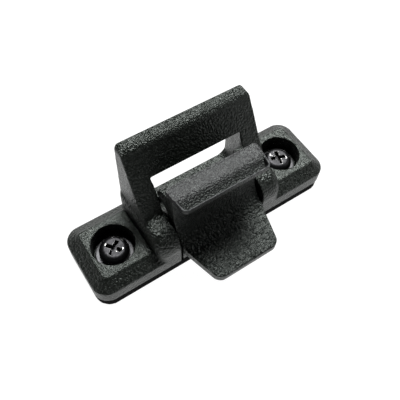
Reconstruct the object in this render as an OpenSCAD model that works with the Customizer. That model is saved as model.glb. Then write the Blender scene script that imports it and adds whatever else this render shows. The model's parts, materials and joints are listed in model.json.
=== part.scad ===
// Squeeze latch for a sliding window pane.
// The body is one moulding: a long base plate with two counterbored screw holes, two round-topped
// cheeks, and an upright grip with a finger slot. A sprung lever turns on a pin between the cheeks.
// Its thumb pad is squeezed back towards the grip, and the flat tongue that hooks the keeper lifts.
// Frame: origin at the middle of the mounting face, +Z away from the pane, X along the base plate,
// -Y towards the keeper.

/* [Base plate] */
// Length of the base plate
base_len = 84.4; // [82:0.2:90]
// Width of the base plate, front to back
base_wid = 24.6; // [24:0.1:25]
// Corner radius of the base plate in plan
base_corner = 5; // [4.4:0.2:7]
// Height of the straight side wall
wall_h = 5; // [4.8:0.1:5.6]
// Inward run of the sloped border
border_run = 4; // [3.2:0.1:4.2]
// Rise of the sloped border
border_rise = 3; // [2.4:0.1:3.2]
// Thickness of the rubber gasket under the plate
gasket_t = 3.6; // [1:0.1:3.8]

/* [Mounting screws] */
// Distance between the two screws
screw_pitch = 62; // [60:1:64]
// Diameter of the screw counterbore
cbore_d = 13; // [11:0.5:13]
// Depth of the counterbore below the top face
cbore_depth = 6.2; // [5.6:0.1:6.4]
// Nominal thread diameter
screw_d = 5; // [4:0.5:5]
// Length of the screw under its head
screw_len = 16; // [12:1:25]
// Diameter of the pan head
head_d = 9.2; // [8:0.1:10]
// Height of the pan head
head_h = 3; // [2.5:0.1:3.2]

/* [Cheeks and grip] */
// Width over both cheeks, at the top face
cheeks_wid = 44.8; // [44:0.2:46]
// Height of the round-topped cheeks above the top face
cheek_h = 7; // [6.6:0.1:7.6]
// Radius round the outer rim of each cheek
cheek_edge = 3; // [2:0.1:3.4]
// Width of the grip at its top
grip_top_wid = 42; // [38:0.1:42.6]
// Height of the grip above the top face
grip_h = 27.2; // [25:0.1:30]
// Thickness of the grip at its top edge
grip_top_t = 3.5; // [3.3:0.1:4.4]
// Lean of the grip's front face from upright, in degrees
grip_lean = 29.7; // [28:0.1:30]
// Radius of the grip's upper corners, seen from the front
grip_corner = 1.9; // [1.5:0.1:4]
// Radius of the upright back corners, seen from above
back_corner = 3.2; // [2:0.1:3.4]
// Height of the finger slot's upper edge above the top face
slot_top = 17.6; // [16:0.1:18.5]
// Width of the finger slot at its front
slot_wid = 29.8; // [29.6:0.1:31]
// Widening of the slot towards the back, on each side
slot_flare = 2.6; // [1:0.1:3]

/* [Lever] */
// Half width of the lever at its riser
lever_half = 14.3; // [14:0.1:14.4]
// Reach of the tongue in front of the body's middle
tongue_reach = 25.9; // [23:0.1:30]
// Half width of the tongue at its tip
tongue_tip_half = 10.7; // [9:0.1:12]
// Thickness of the tongue
tongue_t = 3; // [2.6:0.1:3.2]
// Height of the thumb pad's upper face above the top face
pad_h = 21; // [20:0.1:21.2]
// Depth of the thumb pad, front to back
pad_depth = 8.9; // [7:0.1:9.2]
// Width of the thumb pad at its back edge
pad_back_wid = 30.4; // [28:0.1:31]
// Width of the thumb pad at its front edge
pad_front_wid = 28.4; // [26:0.1:31]
// Thickness of the thumb pad
pad_t = 1.8; // [1.5:0.1:2]

/* [Pivot and spring] */
// Diameter of the pivot pin
pin_d = 3; // [2.5:0.1:3]
// Wire diameter of the return spring
wire_d = 1.2; // [1:0.1:1.2]
// Mean radius of the spring's coils
coil_r = 2.4; // [2.3:0.1:2.5]
// Number of turns in each coil
coil_turns = 6; // [4:1:6]

/* [Hidden] */
$fn = 64;
eps = 0.01;
black_moulding = [0.06, 0.065, 0.06];
black_rubber = [0.03, 0.03, 0.03];
black_steel = [0.09, 0.09, 0.1];
bright_steel = [0.72, 0.72, 0.7];
black_acetal = [0.07, 0.07, 0.07];
blue_spring = [0.16, 0.16, 0.18];
pad_black = [0.1, 0.1, 0.11];
back = base_wid / 2;

// Heights, from the mounting face up
plate_z = gasket_t;
border_z = plate_z + wall_h;
top_z = border_z + border_rise;
floor_z = plate_z + 1.6;
sill_z = top_z - 3.4;
seat_z = top_z - cbore_depth;

// Fasteners
washer_t = 0.8;
hole_gap = 0.5;
neck_d = 4.4;
neck_len = seat_z + washer_t;
screw_turns = [38, 72];

// Plan of the top face and the cheeks
plateau_corner = 1;
cheek_half = cheeks_wid / 2;
crown_y = cheek_h - back;
crown_z = top_z + cheek_h;
grip_z = top_z + grip_h;
grip_back = back + 0.2;
grip_edge = grip_back - grip_top_t;
grip_foot = grip_edge - tan(grip_lean) * (grip_h - cheek_h);
grip_splay = 0.5;
valley_r = 2.4;

// Lever bay between the cheeks
bay_half = slot_wid / 2;
bay_back = 8.4;
floor_front = -9.8;

// Pivot
pivot_y = -3.6;
pivot_z = top_z + 1.9;
pin_r = pin_d / 2;
running_gap = 0.06;
pin_in = 20.2;
pin_out = cheek_half - 0.6;

// Lever
hub_r = 4.1;
tongue_top_z = top_z - 0.3;
riser_foot = [-7.2, top_z + 4];
riser_head = [-6, top_z + pad_h - pad_t];
riser_t = 2.6;
riser_fillet = 8.5;
tongue_back_y = -12.5;
tongue_corner = 3.2;
apron_front = -back;
apron_t = 1.8;
apron_z = plate_z + 0.5;
shelf_t = 1.5;
shelf_front = -10.4;
shelf_half = 12.4;
hook_front = -24.6;
hook_back = -22.4;
hook_drop = 2;
hook_half = 8;
knuckle_in = 3.4;
knuckle_out = 11;
coil_room = coil_r + wire_d / 2 + 0.3;
ear_y = -0.5;
ear_z = top_z + 12.8;
ear_r = 2.3;
ear_in = 11.4;
ear_boss = 0.3;
hook_out = 0.35;
ear_hole_r = wire_d / 2 + 0.1;

// Thumb pad
pad_z = top_z + pad_h - pad_t;
pad_back = -3.4;
pad_front = pad_back - pad_depth;
pad_front_corner = 1.7;
pad_back_corner = 1.2;
peg_r = 1.5;
peg_len = 1.2;
peg_x = 8;
peg_y = -6.8;

// Spring
wire_r = wire_d / 2;
leg_r = wire_r - 0.02;
turn_pitch = wire_d * 0.92;
coil_in = knuckle_in + 0.25 + wire_r;
coil_out = coil_in + (coil_turns - 1) * turn_pitch;
leg_tip = [5.2, floor_z + wire_r + 0.35];
leg_run = leg_tip - [pivot_y, pivot_z];
leg_leave = atan2(leg_run[1], leg_run[0]) + acos(coil_r / norm(leg_run));

// ---------- shared shapes ----------

function unit(v) = v / norm(v);

// Points of one corner of an outline, rounded to radius r
function corner_arc(before, at, after, r, steps) =
    let (
        u = unit(before - at),
        v = unit(after - at),
        half = acos(u * v) / 2,
        centre = at + unit(u + v) * (r / sin(half)),
        first = at + u * (r / tan(half)) - centre,
        last = at + v * (r / tan(half)) - centre,
        a0 = atan2(first[1], first[0]),
        turn = atan2(last[1], last[0]) - a0,
        sweep = turn > 180 ? turn - 360 : (turn < -180 ? turn + 360 : turn)
    )
    [for (i = [0:steps]) centre + r * [cos(a0 + sweep * i / steps), sin(a0 + sweep * i / steps)]];

// Outline from [x, y, radius] corners; a radius of 0 keeps the corner sharp
function rounded_outline(corners, steps = 12) =
    let (count = len(corners), xy = [for (c = corners) [c[0], c[1]]])
    [
        for (i = [0:count - 1])
            each corners[i][2] == 0
                ? [xy[i]]
                : corner_arc(xy[(i + count - 1) % count], xy[i], xy[(i + 1) % count], corners[i][2], steps)
    ];

// Outline drawn in (y, z), extruded along X between -half and half
module along_x(half) {
    rotate([90, 0, 90])
        linear_extrude(height = 2 * half, center = true)
            children();
}

// Outline drawn in (x, z), extruded along Y from y0 to y1
module along_y(y0, y1) {
    translate([0, y1, 0])
        rotate([90, 0, 0])
            linear_extrude(height = y1 - y0)
                children();
}

// Round bar along X from x0 to x1
module bar_x(r, x0, x1, y, z) {
    translate([x0, y, z])
        rotate([0, 90, 0])
            cylinder(r = r, h = x1 - x0);
}

// Box between two corners
module block(low, high) {
    translate(low)
        cube(high - low);
}

module rounded_slab(length, width, r, z0, height) {
    translate([0, 0, z0])
        linear_extrude(height = height) {
            square([length - 2 * r, width], center = true);
            square([length, width - 2 * r], center = true);
            for (sx = [-1, 1], sy = [-1, 1])
                translate([sx * (length / 2 - r), sy * (width / 2 - r)])
                    circle(r = r);
        }
}

// Straight wire between two points, running on by half its width
module wire(from, to) {
    run = to - from;
    translate(from)
        rotate([0, acos(run[2] / norm(run)), atan2(run[1], run[0])])
            cylinder(r = leg_r, h = norm(run) + leg_r);
}

// ---------- body ----------

// Slope from the wall's outline up to the smaller top face
module sloped_border() {
    hull() {
        rounded_slab(base_len, base_wid, base_corner, border_z - eps, eps, $fn = 48);
        rounded_slab(base_len - 2 * border_run, base_wid - 2 * border_run, plateau_corner,
            top_z - eps, eps, $fn = 48);
    }
}

// Cheeks: straight walls, a round front and a level crown, with one radius all round the outer rim
module cheeks() {
    translate([0, 0, border_z - 2])
        linear_extrude(height = top_z - border_z + 2)
            polygon(rounded_outline([
                [-cheek_half, -back, cheek_edge],
                [cheek_half, -back, cheek_edge],
                [cheek_half, back, 0],
                [-cheek_half, back, 0]
            ]));
    translate([0, crown_y, top_z])
        rotate([0, 90, 0])
            rotate_extrude()
                polygon(rounded_outline([
                    [0, -cheek_half, 0],
                    [cheek_h, -cheek_half, cheek_edge],
                    [cheek_h, cheek_half, cheek_edge],
                    [0, cheek_half, 0]
                ]));
    along_y(crown_y, back)
        polygon(rounded_outline([
            [-cheek_half, border_z - 2, 0],
            [cheek_half, border_z - 2, 0],
            [cheek_half, crown_z, cheek_edge],
            [-cheek_half, crown_z, cheek_edge]
        ]));
}

// Outline of the grip, seen from the side; its leaning front runs down inside the cheeks
function grip_side() =
    let (low_z = border_z - 2)
    rounded_outline([
        [back, low_z, 0],
        [grip_foot - tan(grip_lean) * (crown_z - low_z), low_z, 0],
        [grip_edge, grip_z, 3.4],
        [grip_back, grip_z, 0.8],
        [back, top_z, 0]
    ]);

// Outline of the grip, seen from the front
function grip_front() =
    let (top_half = grip_top_wid / 2, low_half = top_half + grip_splay)
    rounded_outline([
        [-low_half, border_z - 3, 0],
        [low_half, border_z - 3, 0],
        [low_half, crown_z, 0],
        [top_half, grip_z, grip_corner],
        [-top_half, grip_z, grip_corner],
        [-low_half, crown_z, 0]
    ]);

// Fillet where the leaning front of the grip meets the crown
module valley() {
    up = 4;
    along_x(cheek_half - cheek_edge)
        polygon(rounded_outline([
            [crown_y, crown_z - up, 0],
            [crown_y, crown_z, 0],
            [grip_foot, crown_z, valley_r],
            [grip_foot + tan(grip_lean) * up, crown_z + up, 0],
            [grip_edge, crown_z + up, 0],
            [grip_edge, crown_z - up, 0]
        ]));
}

// Finger slot: wider at the back, as a moulding draws, with round lower corners
module finger_slot() {
    front_half = slot_wid / 2;
    back_half = front_half + slot_flare;
    intersection() {
        translate([0, 0, sill_z])
            linear_extrude(height = top_z + slot_top - sill_z)
                polygon([[-front_half, pivot_y], [front_half, pivot_y], [front_half, 2.5],
                    [back_half, back + 0.5], [-back_half, back + 0.5], [-front_half, 2.5]]);
        along_y(pivot_y - 1, back + 1)
            polygon(rounded_outline([
                [-back_half, sill_z, 3.5],
                [back_half, sill_z, 3.5],
                [back_half, top_z + slot_top + 1, 0],
                [-back_half, top_z + slot_top + 1, 0]
            ]));
    }
}

// Cheeks and grip, with round upright corners at the back
module uprights() {
    side = cheek_half + eps;
    intersection() {
        union() {
            cheeks();
            valley();
            intersection() {
                along_x(cheek_half + 1)
                    polygon(grip_side());
                along_y(-back - 1, back + 1)
                    polygon(grip_front());
            }
        }
        translate([0, 0, plate_z])
            linear_extrude(height = wall_h + border_rise + grip_h + 1)
                polygon(rounded_outline([
                    [-side, -base_wid, 0],
                    [side, -base_wid, 0],
                    [side, grip_back + eps, back_corner],
                    [-side, grip_back + eps, back_corner]
                ]));
    }
}

module latch_body() {
    color(black_moulding)
    difference() {
        union() {
            rounded_slab(base_len, base_wid, base_corner, plate_z, wall_h);
            sloped_border();
            uprights();
        }
        block([-bay_half, floor_front, floor_z], [bay_half, bay_back, top_z + cheek_h + 4]);
        block([-bay_half, -base_wid, 0], [bay_half, floor_front, top_z + cheek_h + 4]);
        finger_slot();
        bar_x(pin_r, -pin_in, cheek_half + 1, pivot_y, pivot_z);
        for (side = [-1, 1])
            translate([side * screw_pitch / 2, 0, 0]) {
                cylinder(d = screw_d + hole_gap, h = top_z);
                translate([0, 0, seat_z])
                    cylinder(d = cbore_d, h = cbore_depth + 1);
            }
    }
}

// ---------- lever ----------

// Hub, riser, tongue and apron seen from the side
function lever_side() = rounded_outline([
    [-tongue_reach, tongue_top_z - tongue_t, 0.5],
    [-tongue_reach, tongue_top_z, 0.7],
    [riser_foot[0] - 0.9, tongue_top_z, riser_fillet],
    [riser_head[0], riser_head[1], 0],
    [riser_head[0] + riser_t, riser_head[1], 0],
    [riser_foot[0] + riser_t + 0.3, pivot_z + hub_r - 1, 0],
    [pivot_y, pivot_z, 0],
    [pivot_y - 1, pivot_z - hub_r + 0.4, 0],
    [apron_front + apron_t, tongue_top_z - tongue_t - 0.6, 1],
    [apron_front + apron_t, apron_z, 0.4],
    [apron_front, apron_z, 0.6],
    [apron_front, tongue_top_z - tongue_t, 1.2]
]);

// Tongue seen from above: tapers to the tip, with round corners
function tongue_plan() = rounded_outline([
    [-tongue_tip_half, -tongue_reach, tongue_corner],
    [tongue_tip_half, -tongue_reach, tongue_corner],
    [lever_half, tongue_back_y, 0],
    [lever_half, back, 0],
    [-lever_half, back, 0],
    [-lever_half, tongue_back_y, 0]
]);

// Ear behind the riser, with a boss for the spring's bent end
module lever_ear(side) {
    mid = side * (lever_half + ear_in) / 2;
    translate([mid, 0, 0])
        along_x((lever_half - ear_in) / 2) {
            translate([ear_y, ear_z])
                circle(r = ear_r);
            polygon([[riser_foot[0] + riser_t - 0.6, ear_z - 5.5], [ear_y + 1, ear_z - 2],
                [ear_y, ear_z + ear_r], [riser_head[0] + 0.6, ear_z + 4]]);
        }
    outer = side * (lever_half + ear_boss);
    bar_x(ear_r - 0.3, min(side * ear_in, outer), max(side * ear_in, outer), ear_y, ear_z);
}

module lever_solid() {
    intersection() {
        along_x(lever_half)
            polygon(lever_side());
        translate([0, 0, plate_z])
            linear_extrude(height = pad_z)
                polygon(tongue_plan());
    }
    bar_x(hub_r, -lever_half, lever_half, pivot_y, pivot_z);
    block([-shelf_half, shelf_front, pad_z - shelf_t],
        [shelf_half, riser_head[0] + riser_t - 0.4, pad_z]);
    block([-hook_half, hook_front, tongue_top_z - tongue_t - hook_drop],
        [hook_half, hook_back, tongue_top_z - 1]);
    for (side = [-1, 1])
        lever_ear(side);
}

module release_lever() {
    mid = (knuckle_in + knuckle_out) / 2;
    half = (knuckle_out - knuckle_in) / 2;
    color(black_moulding)
    difference() {
        lever_solid();
        bar_x(pin_r + running_gap, -lever_half - 1, lever_half + 1, pivot_y, pivot_z);
        bar_x(ear_hole_r, -lever_half - 1, lever_half + 1, ear_y, ear_z);
        for (side = [-1, 1]) {
            translate([side * mid, 0, 0]) {
                bar_x(coil_room, -half, half, pivot_y, pivot_z);
                block([-half, pivot_y, floor_z], [half, back, pivot_z + hub_r + 1]);
            }
            translate([side * peg_x, peg_y, pad_z - peg_len])
                cylinder(r = peg_r, h = peg_len + 1);
        }
    }
}

module thumb_pad() {
    color(pad_black) {
        translate([0, 0, pad_z])
            linear_extrude(height = pad_t)
                polygon(rounded_outline([
                    [-pad_front_wid / 2, pad_front, pad_front_corner],
                    [pad_front_wid / 2, pad_front, pad_front_corner],
                    [pad_back_wid / 2, pad_back, pad_back_corner],
                    [-pad_back_wid / 2, pad_back, pad_back_corner]
                ]));
        for (side = [-1, 1])
            translate([side * peg_x, peg_y, pad_z - peg_len])
                cylinder(r = peg_r, h = peg_len + 0.5);
    }
}

// ---------- pivot and spring ----------

module pivot_pin() {
    color(bright_steel)
        bar_x(pin_r, -pin_in, pin_out, pivot_y, pivot_z);
}

module spacer(side) {
    near = lever_half + 0.15;
    far = bay_half - 0.15;
    color(black_acetal)
    difference() {
        bar_x(pin_r + 1.6, min(side * near, side * far), max(side * near, side * far), pivot_y, pivot_z);
        bar_x(pin_r + running_gap, -cheek_half, cheek_half, pivot_y, pivot_z);
    }
}

module spacer_left() {
    spacer(-1);
}

module spacer_right() {
    spacer(1);
}

// Coil, rising arm with its bent end, and the leg that joins the bridge
module spring_half(side) {
    translate([side * coil_in, pivot_y, pivot_z])
        rotate([0, side * 90, 0])
            rotate_extrude()
                for (i = [0:coil_turns - 1])
                    translate([coil_r, i * turn_pitch])
                        circle(r = wire_r, $fn = 24);
    arm_x = side * coil_out;
    hook_x = side * (lever_half + hook_out);
    wire([arm_x, pivot_y + coil_r, pivot_z], [arm_x, ear_y, ear_z]);
    bar_x(leg_r * 0.96, min(arm_x, hook_x), max(arm_x, hook_x), ear_y, ear_z);
    leg_x = side * coil_in;
    wire([leg_x, pivot_y + coil_r * cos(leg_leave), pivot_z + coil_r * sin(leg_leave)],
        [leg_x, leg_tip[0], leg_tip[1]]);
}

module torsion_spring() {
    color(blue_spring) {
        for (side = [-1, 1])
            spring_half(side);
        bar_x(leg_r * 0.96, -coil_in - leg_r, coil_in + leg_r, leg_tip[0], leg_tip[1]);
    }
}

// Rubber buffer that the lever's underside rests on
module rest_bumper() {
    color(black_rubber)
        block([-knuckle_in + 0.4, floor_front + 0.3, floor_z],
            [knuckle_in - 0.4, floor_front + 3.3, tongue_top_z - tongue_t - 0.7]);
}

// ---------- gasket and fasteners ----------

module gasket() {
    inset = 0.2;
    color(black_rubber)
    difference() {
        rounded_slab(base_len - 2 * inset, base_wid - 2 * inset, base_corner - inset, 0, gasket_t);
        for (side = [-1, 1])
            translate([side * screw_pitch / 2, 0, -1])
                cylinder(d = screw_d + hole_gap, h = gasket_t + 2);
    }
}

module screw_washers() {
    color(black_steel)
    for (side = [-1, 1])
        translate([side * screw_pitch / 2, 0, seat_z])
            difference() {
                cylinder(d = cbore_d - 1.4, h = washer_t);
                translate([0, 0, -1])
                    cylinder(d = screw_d + hole_gap, h = washer_t + 2);
            }
}

// Pan head screw with a cross recess; its seat is at z = 0
module pan_screw() {
    tip = 0.8;
    crown_r = 1.8;
    recess_len = 5;
    recess_w = 1.2;
    recess_depth = 1.8;
    difference() {
        union() {
            rotate_extrude()
                polygon(rounded_outline([
                    [0, 0, 0],
                    [head_d / 2, 0, 0],
                    [head_d / 2, head_h, crown_r],
                    [0, head_h, 0]
                ]));
            translate([0, 0, -neck_len])
                cylinder(d = neck_d, h = neck_len + eps);
            translate([0, 0, tip - screw_len])
                cylinder(d = screw_d, h = screw_len - tip - neck_len);
            translate([0, 0, -screw_len])
                cylinder(d1 = screw_d - 2 * tip, d2 = screw_d, h = tip + eps);
        }
        for (a = [0, 90])
            rotate([0, 0, a])
                block([-recess_len / 2, -recess_w / 2, head_h - recess_depth],
                    [recess_len / 2, recess_w / 2, head_h + 1]);
    }
}

module mounting_screws() {
    color(black_steel)
    for (i = [0, 1])
        translate([(i - 0.5) * screw_pitch, 0, seat_z + washer_t])
            rotate([0, 0, screw_turns[i]])
                pan_screw();
}

latch_body();
release_lever();
thumb_pad();
pivot_pin();
torsion_spring();
spacer_left();
spacer_right();
rest_bumper();
gasket();
screw_washers();
mounting_screws();
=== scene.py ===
"""Squeeze latch for a sliding window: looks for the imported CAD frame."""
import json
import math

import bmesh
import bpy
from mathutils import Matrix, Vector


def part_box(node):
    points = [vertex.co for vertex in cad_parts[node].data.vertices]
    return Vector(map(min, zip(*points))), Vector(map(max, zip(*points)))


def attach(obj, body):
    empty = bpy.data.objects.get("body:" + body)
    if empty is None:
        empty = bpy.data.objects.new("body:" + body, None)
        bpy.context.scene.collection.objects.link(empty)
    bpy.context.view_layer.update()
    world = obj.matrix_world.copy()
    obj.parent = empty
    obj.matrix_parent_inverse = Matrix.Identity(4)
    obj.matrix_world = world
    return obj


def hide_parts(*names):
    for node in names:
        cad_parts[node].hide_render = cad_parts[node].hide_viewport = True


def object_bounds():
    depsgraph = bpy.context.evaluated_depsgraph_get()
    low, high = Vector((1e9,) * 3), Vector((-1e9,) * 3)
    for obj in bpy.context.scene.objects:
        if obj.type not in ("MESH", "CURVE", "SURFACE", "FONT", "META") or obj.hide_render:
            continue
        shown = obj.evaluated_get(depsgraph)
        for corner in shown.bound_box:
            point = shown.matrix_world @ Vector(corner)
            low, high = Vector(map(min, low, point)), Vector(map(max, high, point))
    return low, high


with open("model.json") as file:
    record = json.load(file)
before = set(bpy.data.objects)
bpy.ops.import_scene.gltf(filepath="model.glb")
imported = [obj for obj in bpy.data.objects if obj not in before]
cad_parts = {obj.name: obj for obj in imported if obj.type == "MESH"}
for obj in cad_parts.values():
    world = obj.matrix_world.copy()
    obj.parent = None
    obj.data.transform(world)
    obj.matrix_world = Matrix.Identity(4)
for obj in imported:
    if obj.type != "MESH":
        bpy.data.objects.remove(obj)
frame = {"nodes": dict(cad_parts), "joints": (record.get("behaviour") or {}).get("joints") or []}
cad_low, cad_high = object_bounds()

MM = 0.001
PIVOT = Vector(frame["joints"][0]["pos_m"])
PLATEAU = PIVOT.z - 1.9 * MM  # height of the base plate's flat top


# ---------- node helpers ----------

NOISE_LOW, NOISE_HIGH = 0.3, 0.7  # most of a noise texture's values lie between these


def new_material(name):
    mat = bpy.data.materials.new(name)
    mat.use_nodes = True
    return mat, mat.node_tree, mat.node_tree.nodes["Principled BSDF"]


def object_place(tree):
    return tree.nodes.new("ShaderNodeTexCoord").outputs["Object"]


def axis_of(tree, place, axis):
    split = tree.nodes.new("ShaderNodeSeparateXYZ")
    tree.links.new(place, split.inputs[0])
    return split.outputs[axis]


def remap(tree, value, from_low, from_high, to_low, to_high, smooth=False):
    """The value moved from one range to another, and held inside it."""
    node = tree.nodes.new("ShaderNodeMapRange")
    node.interpolation_type = "SMOOTHSTEP" if smooth else "LINEAR"
    for socket, number in zip(node.inputs[1:5], (from_low, from_high, to_low, to_high)):
        socket.default_value = number
    tree.links.new(value, node.inputs["Value"])
    return node.outputs["Result"]


def spread(tree, noise_value, low, high):
    """A noise value moved to the range from low to high."""
    return remap(tree, noise_value, NOISE_LOW, NOISE_HIGH, low, high)


def noise(tree, place, size, detail=2.0, rough=0.5):
    """Noise with features about this many metres across."""
    node = tree.nodes.new("ShaderNodeTexNoise")
    node.inputs["Scale"].default_value = 1 / size
    node.inputs["Detail"].default_value = detail
    node.inputs["Roughness"].default_value = rough
    tree.links.new(place, node.inputs["Vector"])
    return node


def cells(tree, place, size):
    """Distance from the middle of the nearest pebble, with pebbles about this many metres across."""
    node = tree.nodes.new("ShaderNodeTexVoronoi")
    node.feature = "SMOOTH_F1"
    node.inputs["Scale"].default_value = 1 / size
    node.inputs["Smoothness"].default_value = 0.35
    node.inputs["Randomness"].default_value = 1.0
    tree.links.new(place, node.inputs["Vector"])
    return node.outputs["Distance"]


def mixed_colour(tree, factor, first, second):
    """Blend of two colours; each is a plain colour or a socket."""
    node = tree.nodes.new("ShaderNodeMix")
    node.data_type = "RGBA"
    tree.links.new(factor, node.inputs["Factor"])
    for key, colour in (("A", first), ("B", second)):
        socket = next(s for s in node.inputs if s.name == key and s.type == "RGBA")
        if isinstance(colour, tuple):
            socket.default_value = (*colour, 1)
        else:
            tree.links.new(colour, socket)
    return next(s for s in node.outputs if s.type == "RGBA")


def math_node(tree, operation, first, second):
    """Arithmetic on two values; each is a plain number or a socket."""
    node = tree.nodes.new("ShaderNodeMath")
    node.operation = operation
    for socket, value in zip(node.inputs, (first, second)):
        if isinstance(value, (int, float)):
            socket.default_value = value
        else:
            tree.links.new(value, socket)
    return node.outputs[0]


def blend(tree, factor, first, second):
    """first where the factor is 0, second where it is 1."""
    step = math_node(tree, "MULTIPLY", factor, math_node(tree, "SUBTRACT", second, first))
    return math_node(tree, "ADD", first, step)


def bump(tree, height, depth):
    node = tree.nodes.new("ShaderNodeBump")
    node.inputs["Distance"].default_value = depth
    tree.links.new(height, node.inputs["Height"])
    return node.outputs["Normal"]


def vector_node(tree, operation, first, second):
    """A vector operation; the second input is a socket or a plain vector."""
    node = tree.nodes.new("ShaderNodeVectorMath")
    node.operation = operation
    tree.links.new(first, node.inputs[0])
    if isinstance(second, (tuple, Vector)):
        node.inputs[1].default_value = second
    else:
        tree.links.new(second, node.inputs[1])
    return node


def warped_place(tree, size, amount):
    """Object coordinates, and the same coordinates pushed about by noise, so that patterns wander."""
    place = object_place(tree)
    push = noise(tree, place, size).outputs["Color"]
    centred = vector_node(tree, "SUBTRACT", push, (0.5, 0.5, 0.5)).outputs["Vector"]
    scaled = vector_node(tree, "MULTIPLY", centred, (amount, amount, amount)).outputs["Vector"]
    return place, vector_node(tree, "ADD", place, scaled).outputs["Vector"]


def level_mask(tree, place, level, near, far):
    """1 at this height, falling to 0 between the two distances from it."""
    offset = math_node(tree, "SUBTRACT", axis_of(tree, place, "Z"), level)
    return remap(tree, math_node(tree, "ABSOLUTE", offset, 0.0), near, far, 1.0, 0.0)


def sharp_edge_mask(tree, place, low, high):
    """1 on sharp outer edges, 0 elsewhere, broken up by noise."""
    edge = tree.nodes.new("ShaderNodeNewGeometry").outputs["Pointiness"]
    sharpness_share = remap(tree, edge, low, high, 0.0, 1.0)
    patches = noise(tree, place, 1.6 * MM, detail=4.0).outputs[0]
    return math_node(tree, "MULTIPLY", sharpness_share, remap(tree, patches, NOISE_LOW, 0.65, 0.35, 1.0))


# ---------- camera, floor and light ----------

CAMERA_AZIMUTH = -37.0
CAMERA_ELEVATION = 59.1
CAMERA_ROLL = 4.1
CAMERA_DISTANCE = 0.1556
CAMERA_TARGET = Vector((-0.0012, -0.0011, 0.0117))
CAMERA_LENS = 45.3

PALE = 0.8  # brightness of the far floor and the backdrop, as the camera sees them
FLOOR_LIGHTING = 0.07  # how much the far floor lights the object
WORLD_LIGHTING = 0.018  # how much the backdrop lights the object
FLOOR_HALF = 3.0
FLOOR_Z = -0.2 * MM
TABLE_MIDDLE = Vector((0.012, 0.016, FLOOR_Z))
TABLE_NEAR, TABLE_FAR = 0.100, 0.17  # the light table fades out between these distances
PALE_FAR = 4 * TABLE_FAR  # the camera sees it fade out only by this distance


def direction(azimuth, elevation):
    """Unit vector from the object towards a viewer at these angles, in degrees."""
    az, el = math.radians(azimuth), math.radians(elevation)
    return Vector((math.sin(az) * math.cos(el), -math.cos(az) * math.cos(el), math.sin(el)))


def add_camera():
    data = bpy.data.cameras.new("camera")
    data.lens = CAMERA_LENS
    data.sensor_width = 36
    data.clip_start = 0.01
    data.clip_end = 10
    cam = bpy.data.objects.new("camera", data)
    bpy.context.scene.collection.objects.link(cam)
    out = direction(CAMERA_AZIMUTH, CAMERA_ELEVATION)
    roll = Matrix.Rotation(math.radians(CAMERA_ROLL), 3, "Z")
    turn = out.to_track_quat("Z", "Y").to_matrix() @ roll
    cam.matrix_world = Matrix.Translation(CAMERA_TARGET + out * CAMERA_DISTANCE) @ turn.to_4x4()
    bpy.context.scene.camera = cam


def add_softbox(name, azimuth, elevation, distance, side, watts):
    """Square light that faces the object from the given side."""
    data = bpy.data.lights.new(name, "AREA")
    data.shape = "SQUARE"
    data.size = side
    data.energy = watts
    light = bpy.data.objects.new(name, data)
    bpy.context.scene.collection.objects.link(light)
    out = direction(azimuth, elevation)
    light.location = CAMERA_TARGET + out * distance
    light.rotation_mode = "QUATERNION"
    light.rotation_quaternion = out.to_track_quat("Z", "Y")


def seen_or_lighting(tree, lighting, seen):
    """The second value to the camera, the first to every other ray."""
    from_camera = tree.nodes.new("ShaderNodeLightPath").outputs["Is Camera Ray"]
    return blend(tree, from_camera, lighting, seen)


def add_floor():
    """White light table under the object; away from it the floor looks pale but lights the object little."""
    corners = [(x * FLOOR_HALF, y * FLOOR_HALF, FLOOR_Z) for x, y in ((-1, -1), (1, -1), (1, 1), (-1, 1))]
    mesh = bpy.data.meshes.new("floor")
    mesh.from_pydata(corners, [], [(0, 1, 2, 3)])
    floor = bpy.data.objects.new("floor", mesh)
    bpy.context.scene.collection.objects.link(floor)
    mat, tree, shader = new_material("floor_white")
    away = vector_node(tree, "DISTANCE", object_place(tree), TABLE_MIDDLE).outputs["Value"]
    lighting = remap(tree, away, TABLE_NEAR, TABLE_FAR, 1.0, FLOOR_LIGHTING, smooth=True)
    seen = remap(tree, away, TABLE_NEAR, PALE_FAR, 1.0, PALE, smooth=True)
    tree.links.new(seen_or_lighting(tree, lighting, seen), shader.inputs["Emission Strength"])
    shader.inputs["Emission Color"].default_value = (1, 1, 1, 1)
    shader.inputs["Base Color"].default_value = (0.1, 0.1, 0.1, 1)
    shader.inputs["Roughness"].default_value = 1.0
    shader.inputs["Specular IOR Level"].default_value = 0.0
    mesh.materials.append(mat)


def add_world():
    world = bpy.data.worlds.new("studio")
    world.use_nodes = True
    background = world.node_tree.nodes["Background"]
    background.inputs["Color"].default_value = (1, 1, 1, 1)
    strength = seen_or_lighting(world.node_tree, WORLD_LIGHTING, PALE)
    world.node_tree.links.new(strength, background.inputs["Strength"])
    bpy.context.scene.world = world
    bpy.context.scene.view_settings.view_transform = "Standard"


# ---------- materials ----------

SHEEN_TINT = (0.92, 1.0, 0.94)
WARP_SIZE, WARP_PUSH = 2.2, 1.1  # how the pebbles wander, in pebbles
SMALL_SIZE = 0.5  # pebbles on the calmer stretches, as a share of the usual size
PLATEAU_BAND = (0.3 * MM, 0.7 * MM)  # how far the calmer grain reaches from the plate's top, and is gone
PLATEAU_HEIGHT = 0.45  # height of the pebbles there, as a share of the usual
CROWN_BAND = (1.6 * MM, 2.8 * MM)  # the same for the grip's top
CROWN_HEIGHT = 0.68
FINE_SIZE, FINE_HEIGHT = 0.3, 0.35  # roughness on the pebbles, as a share of their size and height
VALLEY_FROM, VALLEY_TO = 0.25, 0.75  # where a pebble starts to fall, and where it meets the next
VALLEY_PAINTED_SHADE = 0.45  # colour between the pebbles, as a share of their colour: painted shade in the grain's hollows
VALLEY_ROUGH = 0.12  # added roughness between the pebbles
WEAR_AND_HIGHLIGHT_BAND = 0.08  # range of edge sharpness over which the edge lightening grows, partly wear and partly a painted highlight
WORN_SHINE = 0.1  # roughness taken off worn edges


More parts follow.
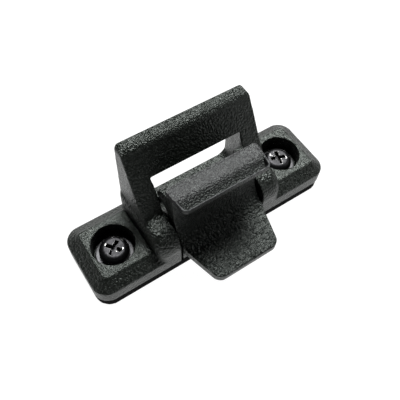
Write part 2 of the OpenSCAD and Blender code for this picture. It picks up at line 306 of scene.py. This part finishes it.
def pebbled_plastic(name, colour, wear_and_highlight_colour, pebble, depth, rough, calm=False, edge_from=0.54, gloss=0.5):
    """Moulded plastic with a leather-like grain, painted shade between the pebbles, mottled sheen, and edges
    lightened partly by wear and partly by a painted highlight.
    """
    mat, tree, shader = new_material(name)
    place, moved = warped_place(tree, WARP_SIZE * pebble, WARP_PUSH * pebble)
    grain = cells(tree, moved, pebble)
    if calm:
        small = cells(tree, moved, SMALL_SIZE * pebble)
        plateau = level_mask(tree, place, PLATEAU, *PLATEAU_BAND)
        crown = level_mask(tree, place, cad_high.z, *CROWN_BAND)
        grain = blend(tree, plateau, grain, math_node(tree, "MULTIPLY", small, PLATEAU_HEIGHT))
        grain = blend(tree, crown, grain, math_node(tree, "MULTIPLY", small, CROWN_HEIGHT))
    fine = noise(tree, place, FINE_SIZE * pebble, detail=3.0).outputs[0]
    pebbles = math_node(tree, "MULTIPLY", grain, -1.0)
    height = math_node(tree, "ADD", pebbles, math_node(tree, "MULTIPLY", fine, FINE_HEIGHT))
    tree.links.new(bump(tree, height, depth), shader.inputs["Normal"])

    valley = remap(tree, grain, VALLEY_FROM, VALLEY_TO, 0.0, 1.0)
    # Darkens the hollows between the pebbles: painted shade.
    base = mixed_colour(tree, valley, colour, tuple(VALLEY_PAINTED_SHADE * c for c in colour))
    # Lighter outer edges: partly rubbed wear, partly a painted highlight where the edges would catch the
    # light.
    edge_share = sharp_edge_mask(tree, place, edge_from, edge_from + WEAR_AND_HIGHLIGHT_BAND)
    tree.links.new(mixed_colour(tree, edge_share, base, wear_and_highlight_colour), shader.inputs["Base Color"])

    blotches = noise(tree, place, 6 * MM, detail=3.0).outputs[0]
    blotch = spread(tree, blotches, rough - 0.05, rough + 0.07)
    sheen = math_node(tree, "ADD", blotch, math_node(tree, "MULTIPLY", valley, VALLEY_ROUGH))
    worn_sheen = math_node(tree, "SUBTRACT", sheen, math_node(tree, "MULTIPLY", edge_share, WORN_SHINE))
    tree.links.new(worn_sheen, shader.inputs["Roughness"])
    shader.inputs["Specular Tint"].default_value = (*SHEEN_TINT, 1)
    shader.inputs["Specular IOR Level"].default_value = gloss
    return mat


def painted_back_sheen(mat, front, back, colour):
    """Lightens a pebbled plastic towards its back edge: a painted sheen, where the light glances off the
    back of the pad.
    """
    tree, shader = mat.node_tree, mat.node_tree.nodes["Principled BSDF"]
    place = object_place(tree)
    patches = noise(tree, place, 1.2 * MM, detail=4.0).outputs[0]
    ragged = math_node(tree, "ADD", axis_of(tree, place, "Y"), spread(tree, patches, -0.8 * MM, 0.8 * MM))
    sheen_share = remap(tree, ragged, front, back, 0.0, 1.0, smooth=True)
    base = shader.inputs["Base Color"].links[0].from_socket
    tree.links.new(mixed_colour(tree, sheen_share, base, colour), shader.inputs["Base Color"])


def black_metal(name, colour, bare, edge_from, worn_to, rough):
    """Black-finished steel, rubbed to bare metal on its edges."""
    mat, tree, shader = new_material(name)
    place, moved = warped_place(tree, 0.8 * MM, 0.3 * MM)
    edge_share = sharp_edge_mask(tree, place, edge_from, worn_to)
    tree.links.new(mixed_colour(tree, edge_share, colour, bare), shader.inputs["Base Color"])
    scratch = noise(tree, moved, 0.5 * MM, detail=5.0, rough=0.65).outputs[0]
    tree.links.new(spread(tree, scratch, rough - 0.1, rough + 0.12), shader.inputs["Roughness"])
    tree.links.new(bump(tree, scratch, 0.012 * MM), shader.inputs["Normal"])
    shader.inputs["Metallic"].default_value = 0.85
    return mat


def rubber(name, colour, rough, gloss):
    """Dull black material with fine light specks."""
    mat, tree, shader = new_material(name)
    moved = warped_place(tree, 1.5 * MM, 0.4 * MM)[1]
    speck = noise(tree, moved, 0.35 * MM, detail=4.0, rough=0.6).outputs[0]
    lighter = tuple(1.8 * c for c in colour)
    share = remap(tree, speck, 0.35, NOISE_HIGH, 0.0, 1.0)
    tree.links.new(mixed_colour(tree, share, colour, lighter), shader.inputs["Base Color"])
    tree.links.new(bump(tree, speck, 0.02 * MM), shader.inputs["Normal"])
    tree.links.new(spread(tree, speck, rough - 0.08, rough + 0.08), shader.inputs["Roughness"])
    shader.inputs["Specular IOR Level"].default_value = gloss
    return mat


def drawn_steel(name, colour, rough):
    """Ground or drawn steel, with fine lines across X."""
    mat, tree, shader = new_material(name)
    stretched = vector_node(tree, "MULTIPLY", object_place(tree), (6, 1, 1)).outputs["Vector"]
    lines = noise(tree, stretched, 0.6 * MM, detail=4.0).outputs[0]
    darker = tuple(0.7 * c for c in colour)
    tree.links.new(mixed_colour(tree, lines, colour, darker), shader.inputs["Base Color"])
    tree.links.new(spread(tree, lines, rough - 0.08, rough + 0.1), shader.inputs["Roughness"])
    tree.links.new(bump(tree, lines, 0.006 * MM), shader.inputs["Normal"])
    shader.inputs["Metallic"].default_value = 1.0
    return mat


# ---------- pieces ----------


def smoothstep(low, high, value):
    share = min(1.0, max(0.0, (value - low) / (high - low)))
    return share * share * (3 - 2 * share)


def cleaned_copy(node):
    """A new mesh with the CAD node's shape, its split corners joined."""
    mesh = frame["nodes"][node].data.copy()
    mesh.materials.clear()
    work = bmesh.new()
    work.from_mesh(mesh)
    bmesh.ops.remove_doubles(work, verts=work.verts, dist=0.001 * MM)
    work.to_mesh(mesh)
    work.free()
    return mesh


def moulded(name, node, voxel, passes):
    """A piece with the CAD node's shape and softened edges, as a moulding or a forging has."""
    rough_piece = bpy.data.objects.new(name + "_rough", cleaned_copy(node))
    bpy.context.scene.collection.objects.link(rough_piece)
    remesh = rough_piece.modifiers.new("remesh", "REMESH")
    remesh.mode = "VOXEL"
    remesh.voxel_size = voxel
    soften = rough_piece.modifiers.new("soften", "SMOOTH")
    soften.factor = 0.5
    soften.iterations = passes
    bpy.context.view_layer.update()
    evaluated = rough_piece.evaluated_get(bpy.context.evaluated_depsgraph_get())
    final = bpy.data.meshes.new_from_object(evaluated)
    bpy.data.objects.remove(rough_piece)
    piece = bpy.data.objects.new(name, final)
    bpy.context.scene.collection.objects.link(piece)
    final.shade_smooth()
    return piece


def set_material(thing, material):
    thing.data.materials.clear()
    thing.data.materials.append(material)


def stands_for(piece, node, body, material):
    set_material(piece, material)
    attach(piece, body)
    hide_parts(node)


PAD_FRONT_NARROWER = 1.0 * MM  # how much narrower each side of the pad is at the front
PAD_SLAB_LOW = 1.7 * MM  # only what is less than this below the pad's top is shaped
LIP_FROM, LIP_TO = 0.2 * MM, 0.95 * MM  # the lip falls to the dish between these distances from the edge
CORNER_BLEND = 0.5 * MM  # how softly the lip turns the pad's corners
SHEEN_PAINT_FROM, SHEEN_PAINT_TO = 2.6 * MM, 5.0 * MM  # the painted sheen grows between these distances from the pad's front
DISH_BACK = 0.15 * MM
DISH_FRONT = 1.55 * MM
DISH_FROM, DISH_TO = 0.45, 0.95  # where the fall to the front starts and ends, as shares of the pad's depth


def dish_pad(piece):
    """Hollows the pad's upper face into a thumb rest that falls to the front, inside a thin raised lip."""
    low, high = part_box("thumb_pad")
    slab_low = high.z - PAD_SLAB_LOW
    for vertex in piece.data.vertices:
        place = vertex.co
        if place.z <= slab_low:
            continue
        along = (high.y - place.y) / (high.y - low.y)
        side = high.x - PAD_FRONT_NARROWER * along - abs(place.x)
        gaps = (side, place.y - low.y, high.y - place.y)
        inside = -CORNER_BLEND * math.log(sum(math.exp(-gap / CORNER_BLEND) for gap in gaps))
        dish = DISH_BACK + (DISH_FRONT - DISH_BACK) * smoothstep(DISH_FROM, DISH_TO, along)
        share = (place.z - slab_low) / (high.z - slab_low)
        place.z -= dish * smoothstep(LIP_FROM, LIP_TO, inside) * min(1.0, share)


SCREW_HEAD_R = 4.6 * MM
THREAD_PITCH = 0.8 * MM
THREAD_DEPTH = 0.42 * MM
THREAD_TOP = -0.1 * MM
THREAD_FULL = -0.8 * MM  # the thread has its full depth below this
THREAD_END = 0.9 * MM  # plain tip below the thread
THREAD_CORE = 0.5 * MM  # nearer the axis than this, the cut shrinks in proportion


def cut_threads(piece):
    """Turns the screws' plain ends, below the mounting face, into helical threads."""
    low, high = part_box("mounting_screws")
    centre = (high.x + low.x) / 2
    half_spacing = (high.x - low.x) / 2 - SCREW_HEAD_R
    tip = low.z + THREAD_END
    for vertex in piece.data.vertices:
        place = vertex.co
        if not tip < place.z < THREAD_TOP:
            continue
        axis_x = centre + math.copysign(half_spacing, place.x - centre)
        out = Vector((place.x - axis_x, place.y))
        phase = (place.z / THREAD_PITCH + math.atan2(out.y, out.x) / math.tau) % 1.0
        cut = THREAD_DEPTH * (1 - abs(2 * phase - 1)) * smoothstep(THREAD_TOP, THREAD_FULL, place.z)
        keep = max(0.0, 1 - cut / max(out.length, THREAD_CORE))
        place.x = axis_x + out.x * keep
        place.y = out.y * keep


WIRE_SIDES = 14


def wire_rings(path, radius):
    """Points round a wire: one ring of WIRE_SIDES for each point of its path."""
    side = None
    rings = []
    for i, point in enumerate(path):
        before, after = path[max(i - 1, 0)], path[min(i + 1, len(path) - 1)]
        along = (after - before).normalized()
        start = side if side is not None else along.orthogonal()
        side = (start - along * start.dot(along)).normalized()
        up = along.cross(side)
        turns = [math.tau * k / WIRE_SIDES for k in range(WIRE_SIDES)]
        rings.append([point + radius * (math.cos(turn) * side + math.sin(turn) * up) for turn in turns])
    return rings


def wire_piece(name, paths, radius):
    """Round wires along the given paths, as one mesh with closed ends."""
    vertices, faces = [], []
    for path in paths:
        first = len(vertices)
        rings = wire_rings(path, radius)
        vertices += [tuple(point) for ring in rings for point in ring]
        for i in range(len(rings) - 1):
            for k in range(WIRE_SIDES):
                here = first + i * WIRE_SIDES + k
                beside = first + i * WIRE_SIDES + (k + 1) % WIRE_SIDES
                faces.append((here, beside, beside + WIRE_SIDES, here + WIRE_SIDES))
        last = first + (len(rings) - 1) * WIRE_SIDES
        faces.append(tuple(first + k for k in reversed(range(WIRE_SIDES))))
        faces.append(tuple(last + k for k in range(WIRE_SIDES)))
    mesh = bpy.data.meshes.new(name)
    mesh.from_pydata(vertices, [], faces)
    mesh.shade_smooth()
    piece = bpy.data.objects.new(name, mesh)
    bpy.context.scene.collection.objects.link(piece)
    return piece


WIRE_R = 0.6 * MM
SHOWN_WIRE_R = 0.97 * WIRE_R  # a little thinner, so that it stays inside the CAD's wire
COIL_R = 2.4 * MM
COIL_IN = 4.25 * MM  # distance of each coil's inner end from the middle
COIL_OUT = 9.75 * MM
COIL_TURNS = 5
COIL_STEPS = 24 * COIL_TURNS
BRIDGE_Y = 5.2 * MM
BRIDGE_BEND = 1.2 * MM
EAR_Y = -0.5 * MM
EAR_BEND = 0.9 * MM
TIP_INSET = 0.1 * WIRE_R
LAP = range(-40, 1, 8)  # degrees over which an arm overlaps its coil
BEND_STEPS = 6


def around_pivot(x, degrees):
    """A point on a coil's middle line."""
    turn = math.radians(degrees)
    return Vector((x, PIVOT.y + COIL_R * math.cos(turn), PIVOT.z + COIL_R * math.sin(turn)))


def rounded_bend(before, corner, after, radius):
    """Points round a bend from one straight run to the next."""
    start = corner + (before - corner).normalized() * radius
    end = corner + (after - corner).normalized() * radius
    shares = [i / BEND_STEPS for i in range(BEND_STEPS + 1)]
    return [start.lerp(corner, share).lerp(corner.lerp(end, share), share) for share in shares]


def coil_path(side, leave, bridge_z):
    """From the bridge's middle to its foot, up the leg and out along the coil."""
    middle = Vector((0, BRIDGE_Y, bridge_z))
    foot = Vector((side * COIL_IN, BRIDGE_Y, bridge_z))
    bend = rounded_bend(middle, foot, around_pivot(side * COIL_IN, leave), BRIDGE_BEND)
    shares = [i / COIL_STEPS for i in range(COIL_STEPS + 1)]
    sweep = leave + 360 * (COIL_TURNS - 1)
    helix = [
        around_pivot(side * (COIL_IN + (COIL_OUT - COIL_IN) * share), leave - sweep * share)
        for share in shares
    ]
    return [middle, *bend, *helix]


def arm_path(side, ear_z, tip_x):
    """Round the end of the coil, up to the lever's ear and out into its hole."""
    hook = Vector((side * COIL_OUT, EAR_Y, ear_z))
    tip = Vector((side * tip_x, EAR_Y, ear_z))
    lap = [around_pivot(side * COIL_OUT, degrees) for degrees in LAP]
    return [*lap, *rounded_bend(lap[-1], hook, tip, EAR_BEND), tip]


def add_spring():
    """Double torsion spring: coils on the pin, a bridge between them on the bay's floor, and two arms."""
    low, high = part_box("torsion_spring")
    bridge_z = low.z + WIRE_R
    reach = Vector((0, BRIDGE_Y - PIVOT.y, bridge_z - PIVOT.z))
    leave = math.degrees(math.atan2(reach.z, reach.y) + math.acos(COIL_R / reach.length))
    coil_paths = [coil_path(side, leave, bridge_z) for side in (-1, 1)]
    arm_paths = [arm_path(side, high.z - WIRE_R, high.x - TIP_INSET) for side in (-1, 1)]
    return (
        wire_piece("spring_coils", coil_paths, SHOWN_WIRE_R),
        wire_piece("spring_arms", arm_paths, SHOWN_WIRE_R),
    )


# ---------- the scene ----------

add_camera()
add_softbox("key_back", azimuth=146, elevation=60, distance=0.6, side=0.32, watts=8.4)
add_softbox("fill_right", azimuth=68, elevation=36, distance=0.25, side=0.08, watts=0.08)
add_floor()
add_world()

body_black = pebbled_plastic(
    "body_black",
    colour=(0.0045, 0.006, 0.0045),
    wear_and_highlight_colour=(0.06, 0.066, 0.06),
    pebble=0.7 * MM,
    depth=0.3 * MM,
    rough=0.3,
    calm=True,
)
lever_black = pebbled_plastic(
    "lever_black",
    colour=(0.0045, 0.006, 0.005),
    wear_and_highlight_colour=(0.07, 0.075, 0.073),
    pebble=0.7 * MM,
    depth=0.32 * MM,
    rough=0.3,
)
pad_grey = pebbled_plastic(
    "pad_grey",
    colour=(0.006, 0.0065, 0.0065),
    wear_and_highlight_colour=(0.17, 0.17, 0.18),
    pebble=0.5 * MM,
    depth=0.21 * MM,
    rough=0.33,
    edge_from=0.51,
    gloss=0.3,
)
screw_black = black_metal(
    "screw_black",
    colour=(0.012, 0.012, 0.013),
    bare=(0.7, 0.7, 0.68),
    edge_from=0.515,
    worn_to=0.57,
    rough=0.36,
)
washer_black = black_metal(
    "washer_black",
    colour=(0.05, 0.05, 0.052),
    bare=(0.35, 0.35, 0.34),
    edge_from=0.53,
    worn_to=0.6,
    rough=0.4,
)
spring_blue = drawn_steel("spring_blue", colour=(0.12, 0.12, 0.135), rough=0.35)
pin_steel = drawn_steel("pin_steel", colour=(0.5, 0.5, 0.5), rough=0.3)
gasket_rubber = rubber("gasket_rubber", colour=(0.003, 0.003, 0.003), rough=0.9, gloss=0.04)
spacer_black = rubber("spacer_black", colour=(0.005, 0.005, 0.005), rough=0.5, gloss=0.2)

body = moulded("body_moulding_piece", "latch_body", voxel=0.22 * MM, passes=9)
stands_for(body, "latch_body", "base", body_black)

lever = moulded("lever_moulding_piece", "release_lever", voxel=0.18 * MM, passes=8)
stands_for(lever, "release_lever", "lever", lever_black)

pad = moulded("thumb_pad_piece", "thumb_pad", voxel=0.13 * MM, passes=5)
dish_pad(pad)
pad_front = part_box("thumb_pad")[0].y
# The pad's back is lightened in colour: a painted sheen.
painted_back_sheen(pad_grey, pad_front + SHEEN_PAINT_FROM, pad_front + SHEEN_PAINT_TO, colour=(0.034, 0.033, 0.035))
stands_for(pad, "thumb_pad", "lever", pad_grey)

gasket = moulded("gasket_piece", "gasket", voxel=0.3 * MM, passes=4)
stands_for(gasket, "gasket", "base", gasket_rubber)

bumper = moulded("bumper_piece", "rest_bumper", voxel=0.15 * MM, passes=8)
stands_for(bumper, "rest_bumper", "base", gasket_rubber)

washers = moulded("washer_pieces", "screw_washers", voxel=0.12 * MM, passes=4)
stands_for(washers, "screw_washers", "base", washer_black)

screws = moulded("screw_pieces", "mounting_screws", voxel=0.1 * MM, passes=4)
cut_threads(screws)
stands_for(screws, "mounting_screws", "base", screw_black)

coils, arms = add_spring()
stands_for(coils, "torsion_spring", "base", spring_blue)
stands_for(arms, "torsion_spring", "lever", spring_blue)

set_material(frame["nodes"]["pivot_pin"], pin_steel)
for node in ("spacer_left", "spacer_right"):
    set_material(frame["nodes"][node], spacer_black)
